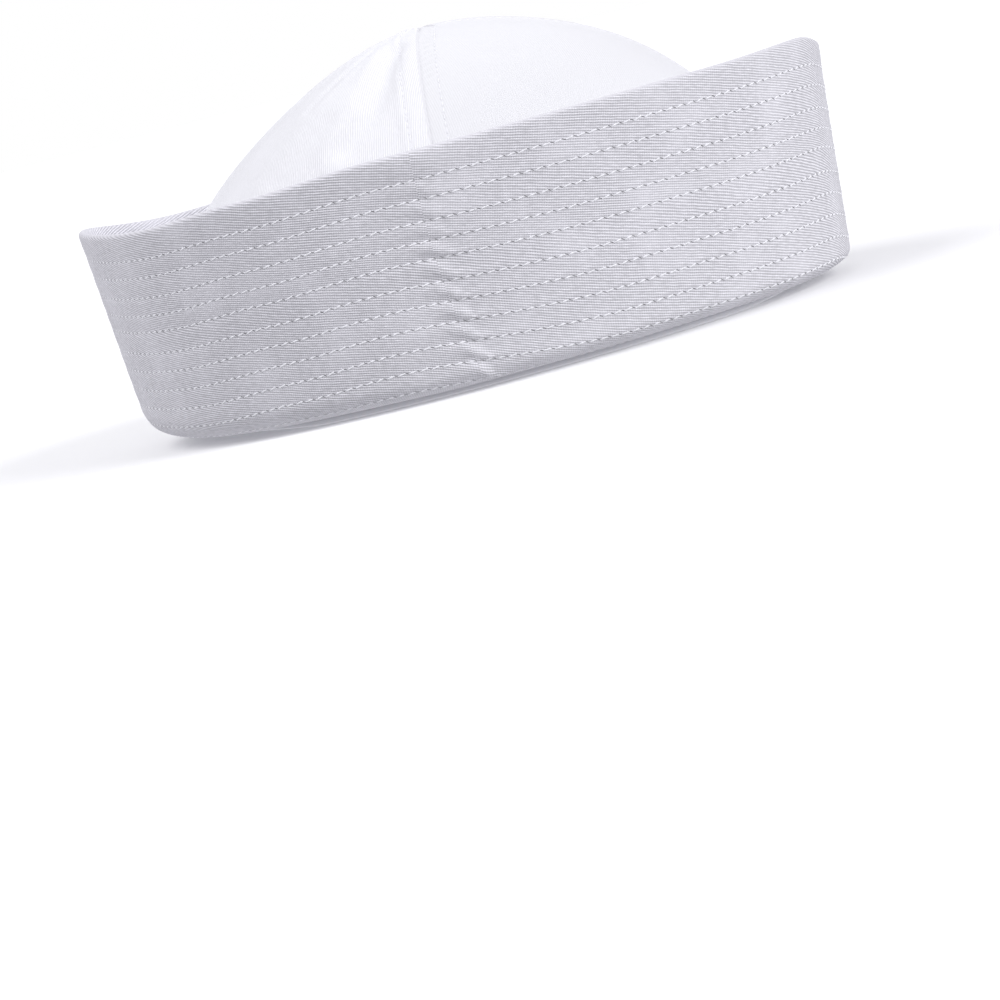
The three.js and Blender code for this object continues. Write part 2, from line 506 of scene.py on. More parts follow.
@dataclass(frozen=True)
class TwillFinish:
    """White cotton twill: fine slanting ribs, soft mottling and, where quilted, small needle holes.

    Floats are the short steps of yarn along each rib. The shades are shares of the tint's brightness:
    painted shade in the grooves between ribs, the cloth's own tone in soft patches (mottle_shade) and
    painted shade on a quilted cloth's rim, which would otherwise catch the light from above.
    Slub and mottle are scales of noise, and yarn_grain is that of the yarn along a rib, each in
    patches to the metre. Evenness is the weave's contrast where the yarn's noise is 0, and
    unevenness what a noise of 1 adds.
    """

    name: str
    tint: Colour
    rib_angle: float
    rib_pitch: float = 0.75 * MM
    groove_painted_shade: float = 0.46
    relief: float = 0.10 * MM
    holes: StitchGrid | None = None
    float_share: float = 0.21
    float_pitch: float = 0.92  # of the rib's
    wander: float = 0.5  # of the rib's pitch
    slub: float = 190.0
    mottle: float = 55.0
    mottle_start: float = 0.45
    mottle_gain: float = 1.2
    mottle_shade: float = 0.97
    yarn_grain: float = 420.0
    yarn_width: float = 0.9  # patches to the rib
    evenness: float = 0.3
    unevenness: float = 1.4
    rim_painted_shade: float = 0.66
    rim_depth: float = 1.0 * MM
    roughness: float = 0.88
    gloss: float = 0.25

    def material(self) -> bpy.types.Material:
        """Writes the material.

        Returns:
            The material, which reads the cloth's own UV map and Object coordinates.
        """
        made, bench = started(self.name)
        cloth = bench.wire("ShaderNodeUVMap", {"uv_map": CLOTH_UV}, {})
        along = bench.wire("ShaderNodeSeparateXYZ", {}, {0: cloth}, 0)
        up = bench.wire("ShaderNodeSeparateXYZ", {}, {0: cloth}, 1)
        place = bench.wire("ShaderNodeTexCoord", {}, {}, "Object")
        slub = bench.noise(place, self.slub, 2.0)
        mottle = bench.noise(place, self.mottle, 3.0)

        angle = math.radians(self.rib_angle)
        across = up * math.cos(angle) - along * math.sin(angle)
        down_rib = along * math.cos(angle) + up * math.sin(angle)
        strayed = slub * (self.wander * self.rib_pitch)
        rib = self._crests(across + strayed, self.rib_pitch)
        floats = self._crests(down_rib + strayed, self.float_pitch * self.rib_pitch)
        ribbed = rib * (1.0 - self.float_share) + floats * self.float_share
        grain = {0: down_rib * self.yarn_grain, 1: across * (self.yarn_width / self.rib_pitch)}
        uneven = bench.noise(bench.wire("ShaderNodeCombineXYZ", {}, grain), 1.0, 1.0)
        weave = ribbed * (uneven * self.unevenness + self.evenness)

        # Painted shade: the grooves between the ribs are darkened in the colour, standing in for the
        # shade that falls in them.
        colour = bench.blend(dimmed(self.tint, self.groove_painted_shade), self.tint, weave)
        patches = (mottle - self.mottle_start).at_least(0.0) * self.mottle_gain
        shaded = bench.blend(colour, dimmed(self.tint, self.mottle_shade), patches)
        height = weave
        if self.holes is not None:
            hole = self._hole_mask(along, up)
            # Painted shade: each needle hole's slit is darkened in the colour, standing in for the
            # shade in the hole and beside its stitch.
            holed = bench.blend(shaded, dimmed(self.tint, self.holes.hole_painted_shade), hole)
            # Painted shade: the rim's top and the first millimetre of its faces are dimmed, holding
            # back the light that the rim catches from above.
            shaded = bench.blend(holed, dimmed(self.tint, self.rim_painted_shade), 1.0 + up / self.rim_depth)
            height = weave - hole * self.holes.hole_depth

        bench.coat(shaded, self.roughness, self.gloss, bench.bump(height, self.relief, 1.0))
        return made

    def _crests(self, distance: Wire, pitch: float) -> Wire:
        """Round crests one pitch apart, 1 at their tops and 0 between them."""
        return (distance * (2 * math.pi / pitch)).cosine() * 0.5 + 0.5

    def _hole_mask(self, along: Wire, up: Wire) -> Wire:
        """Mask of the needle holes.

        Args:
            along: Length along the cloth.
            up: Height on the cloth, which is minus the distance down from the rim.

        Returns:
            1 in the middle of each hole, fading to 0 at its edge.
        """
        grid = self.holes
        down = 0.0 - up
        from_row = (down - grid.first_row).from_nearest_mark(grid.row_pitch)
        from_hole = along.from_nearest_mark(grid.hole_pitch)
        wide = from_hole / grid.hole_half_length
        high = (from_row - from_hole * grid.hole_slant) / grid.hole_half_height
        spot = (1.0 - (wide * wide + high * high)).at_least(0.0)
        above_last = 1.0 - down.over(grid.row(grid.row_count - 1) + grid.row_pitch / 2)
        return spot * down.over(grid.first_row / 2) * above_last


@dataclass(frozen=True)
class ThreadFinish:
    """White sewing thread, a little brighter and smoother than the cloth."""

    name: str
    tint: Colour = (0.94, 0.94, 0.98, 1.0)
    dull_shade: float = 0.93
    twist: float = 1800.0  # patches of noise to the metre
    relief: float = 0.05 * MM
    strength: float = 0.6
    roughness: float = 0.6
    gloss: float = 0.4

    def material(self) -> bpy.types.Material:
        """Writes the material.

        Returns:
            The material, with the thread's twist as a fine bump.
        """
        made, bench = started(self.name)
        place = bench.wire("ShaderNodeTexCoord", {}, {}, "Object")
        twist = bench.noise(place, self.twist, 1.0)
        colour = bench.blend(dimmed(self.tint, self.dull_shade), self.tint, twist)
        bench.coat(colour, self.roughness, self.gloss, bench.bump(twist, self.relief, self.strength))
        return made


@dataclass(frozen=True)
class FloorFinish:
    """Matt white floor, with nothing on it."""

    name: str = "pale_floor"
    tint: Colour = (0.95, 0.95, 0.95, 1.0)

    def material(self) -> bpy.types.Material:
        """Writes the material.

        Returns:
            The material.
        """
        made, bench = started(self.name)
        shader = bench.wire("ShaderNodeBsdfDiffuse", {}, {"Color": self.tint})
        bench.node("ShaderNodeOutputMaterial", {}, {"Surface": shader})
        return made


# ---------------------------------------------------------------------------------------------------
# Cloth and thread making
# ---------------------------------------------------------------------------------------------------

ClothSpot = tuple[Vector, tuple[float, float]]
NeedleHole = tuple[Vector, Vector, Vector]


def finished(name: str, mesh: bmesh.types.BMesh, finish: bpy.types.Material) -> bpy.types.Object:
    """Makes a mesh an object in the scene.

    Args:
        name: The object's name.
        mesh: Its mesh, which is used up.
        finish: Its material.

    Returns:
        The object, at the origin.
    """
    data = bpy.data.meshes.new(name)
    mesh.to_mesh(data)
    mesh.free()
    data.materials.append(finish)
    piece = bpy.data.objects.new(name, data)
    bpy.context.scene.collection.objects.link(piece)
    return piece


class ClothSheet:
    """A flat grid of cloth that is bent into place, welded and closed."""

    CRISP = math.radians(55)
    WELD = 0.004 * MM
    SHORTEST_EDGE = 0.002 * MM

    def __init__(self, columns: int, rows: int) -> None:
        """Weaves the flat grid.

        Args:
            columns: Number of steps along the cloth.
            rows: Number of steps across it.
        """
        self.mesh = bmesh.new()
        self.cloth = self.mesh.loops.layers.uv.new(CLOTH_UV)
        self.columns = columns
        self.rows = rows
        bmesh.ops.create_grid(self.mesh, x_segments=columns, y_segments=rows, size=0.5)

    def bend(self, place: Callable[[int, int], ClothSpot]) -> None:
        """Moves each grid point into place and marks its spot on the flat cloth.

        Args:
            place: Gives the point and the cloth coordinate of a column and a row.
        """
        spots = {}
        for vert in self.mesh.verts:
            column = round((vert.co.x + 0.5) * self.columns)
            row = round((vert.co.y + 0.5) * self.rows)
            vert.co, spots[vert] = place(column, row)
        for face in self.mesh.faces:
            face.smooth = True
            for loop in face.loops:
                loop[self.cloth].uv = spots[loop.vert]

    def face_outwards(self) -> None:
        """Turns an open sheet so that its faces point away from the cap's middle."""
        self.mesh.normal_update()
        outwards = sum(face.normal.dot(face.calc_center_median()) for face in self.mesh.faces)
        if outwards < 0:
            bmesh.ops.reverse_faces(self.mesh, faces=self.mesh.faces)

    def weld(self) -> None:
        """Welds doubled points and drops edges of no length."""
        bmesh.ops.remove_doubles(self.mesh, verts=self.mesh.verts, dist=self.WELD)
        bmesh.ops.dissolve_degenerate(self.mesh, edges=self.mesh.edges, dist=self.SHORTEST_EDGE)

    def thicken(self, thickness: float) -> None:
        """Gives an open sheet its thickness, inwards."""
        bmesh.ops.solidify(self.mesh, geom=self.mesh.faces, thickness=thickness)

    def close(self) -> None:
        """Fills the sheet's open ends and points all its faces outwards."""
        ends = [edge for edge in self.mesh.edges if edge.is_boundary]
        bmesh.ops.holes_fill(self.mesh, edges=ends, sides=0)
        bmesh.ops.recalc_face_normals(self.mesh, faces=self.mesh.faces)

    def crease_cut_edges(self) -> None:
        """Keeps the cloth's cut edges crisp, so that the faces beside them stay smooth."""
        self.mesh.normal_update()
        for edge in self.mesh.edges:
            if edge.calc_face_angle(0.0) > self.CRISP:
                edge.smooth = False

    def finished(self, name: str, finish: bpy.types.Material) -> bpy.types.Object:
        """Makes the cloth an object, at the origin."""
        self.crease_cut_edges()
        return finished(name, self.mesh, finish)


@dataclass
class Needle:
    """Sews rows of separate stitches, each a slim bead of thread half sunk in the cloth.

    share is a bead's part of the way between its holes, lean how far its ends slip across the row and
    stand how far its middle is off the cloth. The spreads are the least and most of what chance makes
    of the lean and of the reach.
    """

    width: float = 0.48 * MM
    height: float = 0.38 * MM
    share: float = 0.88
    lean: float = 0.34 * MM
    stand: float = 0.05 * MM
    lean_spread: tuple[float, float] = (0.6, 1.4)
    reach_spread: tuple[float, float] = (0.92, 1.06)
    jitter: random.Random = field(default_factory=lambda: random.Random(11))
    bead: bpy.types.Mesh = field(init=False)

    def __post_init__(self) -> None:
        """Shapes the bead of thread that every stitch repeats."""
        mesh = bmesh.new()
        bmesh.ops.create_uvsphere(mesh, u_segments=6, v_segments=6, radius=1.0)
        for face in mesh.faces:
            face.smooth = True
        self.bead = bpy.data.meshes.new("bead")
        mesh.to_mesh(self.bead)
        mesh.free()

    def sew(self, mesh: bmesh.types.BMesh, start: NeedleHole, end: NeedleHole) -> None:
        """Adds one stitch between two needle holes.

        Args:
            mesh: The mesh that the stitch joins.
            start: The first hole.
            end: The second hole, whose direction across the row the stitch's end leans to.
        """
        outwards = (start[1] + end[1]) / 2
        slip = end[2] * self.lean * self.jitter.uniform(*self.lean_spread)
        first = start[0] - slip
        second = end[0] + slip
        middle = (first + second) / 2 + outwards * self.stand
        reach = (second - first) * self.share * self.jitter.uniform(*self.reach_spread)
        forwards = reach.normalized()
        side = outwards.cross(forwards).normalized()
        up = forwards.cross(side)
        sizes = (reach.length, self.width, self.height)
        rows = [axis * size / 2 for axis, size in zip((forwards, side, up), sizes)]
        axes = Matrix(rows).transposed()
        stitch = self.bead.copy()
        stitch.transform(Matrix.Translation(middle) @ axes.to_4x4())
        mesh.from_mesh(stitch)
        bpy.data.meshes.remove(stitch)

    def row(self, name: str, finish: bpy.types.Material, holes: list[NeedleHole]) -> bpy.types.Object:
        """Sews a row through its needle holes.

        Args:
            name: The piece's name.
            finish: The thread's material.
            holes: For each hole its place, the direction away from the cloth and that across the row.

        Returns:
            The row of stitches, at the origin.
        """
        mesh = bmesh.new()
        for before, after in zip(holes, holes[1:]):
            self.sew(mesh, before, after)
        bmesh.ops.recalc_face_normals(mesh, faces=mesh.faces)
        return finished(name, mesh, finish)


def attach(piece: bpy.types.Object, slot: str, *nodes: str) -> bpy.types.Object:
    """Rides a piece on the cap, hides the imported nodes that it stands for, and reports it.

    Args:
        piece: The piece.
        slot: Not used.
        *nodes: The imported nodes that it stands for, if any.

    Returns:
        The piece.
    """
    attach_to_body(piece, BODY)
    if nodes:
        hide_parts(*nodes)
    LOG.info("%s: %d faces", piece.name, len(piece.data.polygons))
    return piece


# ---------------------------------------------------------------------------------------------------
# The brim
# ---------------------------------------------------------------------------------------------------


class Face(Enum):
    """The two faces of a wall of cloth."""

    OUTER = 1
    INNER = -1


class Section:
    """The brim's cross section at one azimuth, followed from the rim down and under the fold."""

    FOLD_STEPS = 24
    FEEL = 0.5 * MM  # half the length over which the line's direction is felt

    def __init__(self, form: CapForm, azimuth: float) -> None:
        """Draws the line of the outer face, whose points are (outset, height).

        Args:
            form: The cap's form.
            azimuth: Place round the brim, in degrees.
        """
        foot = form.around("foot", azimuth)
        lift = form.around("lift", azimuth)
        corner = form.around("corner", azimuth)
        seam = Vector((form.brim_seam_outset, lift, 0))
        heel = Vector((foot, lift + corner, 0))
        top = Vector((form.around("flare", azimuth), form.around("rim", azimuth), 0))
        up = (top - heel).normalized()
        under = seam + Vector((form.fold_pull * (foot - seam.x), 0, 0))
        behind = heel - up * form.fold_pull * corner
        self.wall = (top - heel).length
        self.line = [top, *interpolate_bezier(heel, behind, under, seam, self.FOLD_STEPS + 1)]
        self.marks = [0.0]
        for before, after in zip(self.line, self.line[1:]):
            self.marks.append(self.marks[-1] + (after - before).length)

    @property
    def length(self) -> float:
        """Length of the outer face from the rim to the seam under the crown."""
        return self.marks[-1]

    def on_line(self, down: float) -> Vector:
        """Point of the outer face.

        Args:
            down: Distance down from the rim.

        Returns:
            The point, carried on past the ends of the line.
        """
        index = min(max(bisect_right(self.marks, down) - 1, 0), len(self.line) - 2)
        span = self.marks[index + 1] - self.marks[index]
        return self.line[index].lerp(self.line[index + 1], (down - self.marks[index]) / span)

    def outwards(self, down: float) -> Vector:
        """Direction straight out of the cloth at a distance down from the rim."""
        along = self.on_line(down + self.FEEL) - self.on_line(down - self.FEEL)
        return Vector((-along.y, along.x, 0)).normalized()

    def place(self, down: float, depth: float) -> Vector:
        """Point at a distance down from the rim and a depth into the cloth."""
        return self.on_line(down) - self.outwards(down) * depth


@dataclass
class BrimCloth:
    """The quilted cloth of the whole brim: where its faces lie, with their pillows and puckers.

    The fans are the rows' pitch at the back and at the front, as shares of the even pattern's. A
    pillow's crest lies halfway between two rows at a side seam. In front of the seam it falls, and
    behind it it rises, by crest_falls of a pitch to the millimetre in the top and in the bottom row,
    within crest_limits. Puckers and hollows grow from the first of the strengths in the top row to
    the second in the fifth, and strength_sway makes them differ from row to row.
    """

    form: CapForm
    grid: StitchGrid
    seams: tuple[float, float] = (91.55, 268.45)
    pillow: float = 0.13 * MM
    inner_pillow: float = 0.10 * MM
    hem_pillow: float = 0.15 * MM
    hem_pucker: float = 0.60 * MM
    hem_reach: float = 12 * MM
    hem_power: float = 0.75
    seam_pucker: float = 0.62 * MM
    seam_reach: float = 6.0 * MM
    seam_shift: float = 1.2 * MM
    seam_hollow: float = 0.30 * MM
    hollow_reach: float = 4.4 * MM
    hollow_shift: float = 2.2 * MM
    crest_falls: tuple[float, float] = (0.055, 0.12)
    crest_limits: tuple[float, float] = (0.34, 0.9)
    strengths: tuple[float, float] = (0.55, 1.15)
    strength_sway: float = 0.14
    waviness: float = 0.20 * MM
    back_fan: float = 0.94
    front_fan: float = 1.058
    tape_outset: float = 12 * MM
    tape: Tape = field(init=False)
    sections: dict[float, Section] = field(default_factory=dict)

    def __post_init__(self) -> None:
        """Lays the measuring tape round the brim."""
        self.tape = Tape(self.form, self.tape_outset)

    def section(self, azimuth: float) -> Section:
        """The cross section at an azimuth.

        Args:
            azimuth: Place round the brim, in degrees.

        Returns:
            The section, drawn once.
        """
        if azimuth not in self.sections:
            self.sections[azimuth] = Section(self.form, azimuth)
        return self.sections[azimuth]

    def from_seam(self, azimuth: float) -> float:
        """Length of cloth from the nearest side seam.

        Args:
            azimuth: Place round the brim, in degrees.

        Returns:
            The length, positive towards the cap's front.
        """
        place = azimuth % 360
        here = self.tape.length_at(place)
        left, right = (self.tape.length_at(seam) for seam in self.seams)
        return left - here if place < 180 else here - right

    def sewn_distance(self, azimuth: float, down: float) -> float:
        """Real distance down from the rim, where the rows stray and fan out towards the front.

        Args:
            azimuth: Place round the brim.
            down: Distance down from the rim on the cloth's even pattern.

        Returns:
            The distance on the brim as it is sewn.
        """
        rows_down = (down - self.grid.first_row) / self.grid.row_pitch
        if rows_down <= 0:
            return down
        from_back = abs(turn(azimuth, 180))
        fan = mix(self.back_fan, self.front_fan, ease((from_back - 70) / 45))
        held = min(rows_down, self.grid.row_count - 1)
        row = min(int(held), self.grid.row_count - 2)
        slip = mix(ROW_SLIPS[row], ROW_SLIPS[row + 1], held - row) * MM
        sewn = self.grid.first_row + held * self.grid.row_pitch * fan - slip
        return sewn + (rows_down - held) * self.grid.row_pitch

    def even_distance(self, azimuth: float, sewn: float) -> float:
        """Distance on the even pattern of a place below the last row."""
        last = self.grid.row(self.grid.row_count - 1)
        return last + sewn - self.sewn_distance(azimuth, last)

    def pillows(self, azimuth: float, down: float, face: Face) -> float:
        """How far the padding between the rows of stitching stands out of the cloth.

        Args:
            azimuth: Place round the brim.
            down: Distance down from the rim.
            face: Which face of the cloth.

        Returns:
            The height in metres: 0 along each row, most between rows and beside the side seams.
        """
        near_seam = self.from_seam(azimuth)
        if down < self.grid.first_row:
            plump = self.hem_pillow + self.hem_pucker * bell(near_seam, self.hem_reach)
            return plump * math.sin(math.pi * (down / self.grid.first_row) ** self.hem_power)
        rows_down = (down - self.grid.first_row) / self.grid.row_pitch
        if rows_down >= self.grid.row_count - 1:
            return 0.0
        row, share = divmod(rows_down, 1)
        if face is Face.INNER:
            return self.inner_pillow * math.sin(math.pi * share)
        lowest, highest = self.crest_limits
        fall = mix(*self.crest_falls, row / self.grid.row_count)
        crest = min(highest, max(lowest, 0.5 + fall * near_seam / MM))
        bent = share ** (math.log(0.5) / math.log(crest))
        strength = mix(*self.strengths, ease(row / 4)) + self.strength_sway * math.sin(2.3 * row)
        pucker = self.seam_pucker * strength * bell(near_seam - self.seam_shift, self.seam_reach)
        hollow = self.seam_hollow * strength * hump(near_seam + self.hollow_shift, self.hollow_reach)
        hollow *= hump(share - 0.84, 0.3)
        return (self.pillow + pucker) * math.sin(math.pi * bent) - hollow

    def relief(self, azimuth: float, down: float, face: Face) -> float:
        """How far the cloth's face stands out of its plain section at one place.

        Args:
            azimuth: Place round the brim, in degrees.
            down: Distance down from the rim on the even pattern.
            face: Which face of the cloth.

        Returns:
            The height in metres.
        """
        angle = math.radians(azimuth)
        section = self.section(azimuth)
        level = 1 - self.sewn_distance(azimuth, down) / section.wall
        sway = math.sin(5 * angle + 0.7) * math.cos(38 * down + 0.4)
        sway += 0.6 * math.sin(11 * angle + 2.1) * math.cos(70 * down + 1.9)
        held = hump(max(0.0, 0.25 - level), 0.5)
        soft = self.waviness * sway * held
        if level > 0:
            soft -= sum(dent.at(azimuth, level) for dent in BRIM_DENTS) * hump(1 - level, 1)
        return soft * face.value + self.pillows(azimuth, down, face)

    def surface(self, azimuth: float, down: float, face: Face) -> Vector:
        """Point of one face of the cloth.

        Args:
            azimuth: Place round the brim, in degrees.
            down: Distance down from the rim on the even pattern.
            face: Which face of the cloth.

        Returns:
            The point.
        """
        section = self.section(azimuth)
        depth = 0.0 if face is Face.OUTER else self.form.brim_cloth
        relief = self.relief(azimuth, down, face)
        spot = section.place(self.sewn_distance(azimuth, down), depth - face.value * relief)
        return self.form.brim_point(azimuth, spot.x, spot.y)


class Zone(Enum):
    """Stretches of the brim's cloth, in order from its sewn edge over the rim and back."""

    UNDER = "under the fold"
    QUILTED = "quilted wall"
    HEM = "plain hem over the first row"
    RIM = "turn over the rim"
    HEM_INSIDE = "plain hem inside"
    QUILTED_INSIDE = "quilted wall inside"
    UNDER_INSIDE = "inside of the fold"
    SEWN_EDGE = "thickness of the sewn edge"


@dataclass
class BrimHalf:
    """One half of the brim, from one side seam round to the other."""

    name: str
    node: str
    cloth: BrimCloth
    start: float
    end: float
    columns: int = 200
    crowding: float = 0.62

    def track(self) -> list[tuple[Zone, float]]:
        """Rows of the sheet, in order.

        Returns:
            For each row its zone and the share of the way through it.
        """
        pitches = self.cloth.grid.row_count - 2
        steps = {
            Zone.UNDER: 18,
            Zone.QUILTED: 8 * pitches,
            Zone.HEM: 10,
            Zone.RIM: 8,
            Zone.HEM_INSIDE: 5,
            Zone.QUILTED_INSIDE: 6 * pitches,
            Zone.UNDER_INSIDE: 12,
            Zone.SEWN_EDGE: 2,
        }
        rows = [(Zone.UNDER, 0.0)]
        for zone, count in steps.items():
            rows.extend((zone, step / count) for step in range(1, count + 1))
        return rows

    def azimuth(self, column: int) -> float:
        """Azimuth of a column; columns crowd together beside the side seams.

        Args:
            column: Index from the start seam.

        Returns:
            The azimuth, in degrees.
        """
        share = column / self.columns
        spread = share - self.crowding * math.sin(2 * math.pi * share) / (2 * math.pi)
        first = self.cloth.tape.length_at(self.start)
        last = self.cloth.tape.length_at(self.end)
        return self.cloth.tape.azimuth_at(mix(first, last, spread))

    def spot(self, azimuth: float, zone: Zone, share: float) -> ClothSpot:
        """Place of one grid point.

        Args:
            azimuth: Place round the brim.
            zone: Stretch of cloth.
            share: How far through the stretch.

        Returns:
            The point and its cloth coordinate.
        """
        cloth = self.cloth
        grid = cloth.grid
        section = cloth.section(azimuth)
        along = cloth.tape.length_at(azimuth)
        turn_radius = cloth.form.brim_cloth / 2
        last_row = grid.row(grid.row_count - 2)
        edge = cloth.even_distance(azimuth, section.length)
        spans = {
            Zone.UNDER: (edge, last_row, Face.OUTER),
            Zone.QUILTED: (last_row, grid.first_row, Face.OUTER),
            Zone.HEM: (grid.first_row, turn_radius, Face.OUTER),
            Zone.HEM_INSIDE: (turn_radius, grid.first_row, Face.INNER),
            Zone.QUILTED_INSIDE: (grid.first_row, last_row, Face.INNER),
            Zone.UNDER_INSIDE: (last_row, edge, Face.INNER),
        }
        if zone in spans:
            high, low, face = spans[zone]
            down = mix(high, low, share)
            return cloth.surface(azimuth, down, face), (along, -down)
        if zone is Zone.SEWN_EDGE:
            inner = cloth.surface(azimuth, edge, Face.INNER)
            outer = cloth.surface(azimuth, edge, Face.OUTER)
            return inner.lerp(outer, share), (along, -edge)
        outer = cloth.surface(azimuth, turn_radius, Face.OUTER)
        inner = cloth.surface(azimuth, turn_radius, Face.INNER)
        middle = (outer + inner) / 2
        angle = math.pi * share
        rise = cloth.form.brim_point(azimuth, *section.place(0, turn_radius).xy)
        rise -= cloth.form.brim_point(azimuth, *section.place(turn_radius, turn_radius).xy)
        point = middle + (outer - middle) * math.cos(angle) + rise * math.sin(angle)
        return point, (along, -turn_radius * (1 - math.sin(angle)))

    def build(self, finish: bpy.types.Material) -> bpy.types.Object:
        """Cuts, bends and closes the cloth.

        Args:
            finish: The twill's material.

        Returns:
            The piece.
        """
        track = self.track()
        azimuths = [self.azimuth(column) for column in range(self.columns + 1)]
        sheet = ClothSheet(self.columns, len(track) - 1)
        sheet.bend(lambda column, row: self.spot(azimuths[column], *track[row]))
        sheet.weld()
        sheet.close()
        return attach(sheet.finished(self.name, finish), "brim_twill", self.node)


@dataclass
class BrimStitching:
    """The rows of stitching round one half of the brim, on both its faces."""

    name: str
    cloth: BrimCloth
    start: float
    end: float
    feel: float = 0.6 * MM
    sink: float = 0.11 * MM  # at the back, where the pull of the thread buries it
    sink_end: float = 62  # degrees from the back
    sink_fade: float = 30
    edge_gap: float = 2 * MM

    def holes(self, down: float, face: Face) -> list[NeedleHole]:
        """Needle holes of one row on one face.

        Args:
            down: Distance of the row down from the rim.
            face: The face that they are on.

        Returns:
            For each hole its place, the direction out of the cloth and the direction up it.
        """
        tape = self.cloth.tape
        pitch = self.cloth.grid.hole_pitch
        first = math.ceil(tape.length_at(self.start) / pitch)
        last = math.floor(tape.length_at(self.end) / pitch)
        found = []
        for index in range(first, last + 1):
            azimuth = tape.azimuth_at(index * pitch)
            furthest = self.cloth.section(azimuth).length - self.edge_gap
            if self.cloth.sewn_distance(azimuth, down) > furthest:
                continue
            place = self.cloth.surface(azimuth, down, face)
            upwards = self.cloth.surface(azimuth, down - self.feel, face)
            upwards -= self.cloth.surface(azimuth, down + self.feel, face)
            ahead = self.cloth.surface(tape.azimuth_at(index * pitch + self.feel), down, face) - place
            outwards = ahead.cross(upwards).normalized() * face.value
            sunk = self.sink * ease((self.sink_end - abs(turn(azimuth, 180))) / self.sink_fade)
            found.append((place - outwards * sunk, outwards, upwards.normalized()))
        return found

    def build(self, needle: Needle, finish: bpy.types.Material) -> list[bpy.types.Object]:
        """Sews every row.

        Args:
            needle: What sews them.
            finish: The thread's material.

        Returns:
            The rows, those outside first.
        """
        pieces = []
        for face in Face:
            for row in range(self.cloth.grid.row_count):
                holes = self.holes(self.cloth.grid.row(row), face)
                if len(holes) < 2:
                    continue
                name = f"{self.name}_{face.name.lower()}_row_{row + 1:02d}"
                pieces.append(attach(needle.row(name, finish, holes), "brim_twill"))
        return pieces


# ---------------------------------------------------------------------------------------------------
# The crown
# ---------------------------------------------------------------------------------------------------


@dataclass(frozen=True)
class CrownSeam:
    """A felled seam from the crown's foot to its top; lap is the side whose gore lies on top."""

    azimuth: float
    lap: int


@dataclass(frozen=True)
class Crease:
    """A slack crease across a gore, through places given as (azimuth, elevation)."""

    course: tuple[tuple[float, float], ...]
    half_width: float
    depth: float


CROWN_SEAMS = (CrownSeam(0, -1), CrownSeam(92.6, 1), CrownSeam(180, 1), CrownSeam(267.4, -1))

CREASES = (
    Crease(((255, 73), (253.5, 63), (252, 54), (246, 47)), 4.4, 0.95),
    Crease(((222, 79), (226, 74), (224, 68), (221, 60)), 2.2, 0.3),
    Crease(((236, 55), (225, 44)), 5.0, 0.35),
    Crease(((284, 76), (288, 66), (293, 62), (302, 60)), 3.6, 0.16),
    Crease(((104, 74), (107, 62), (111, 50)), 4.0, 0.4),
    Crease(((66, 66), (52, 60)), 5.0, 0.16),
)


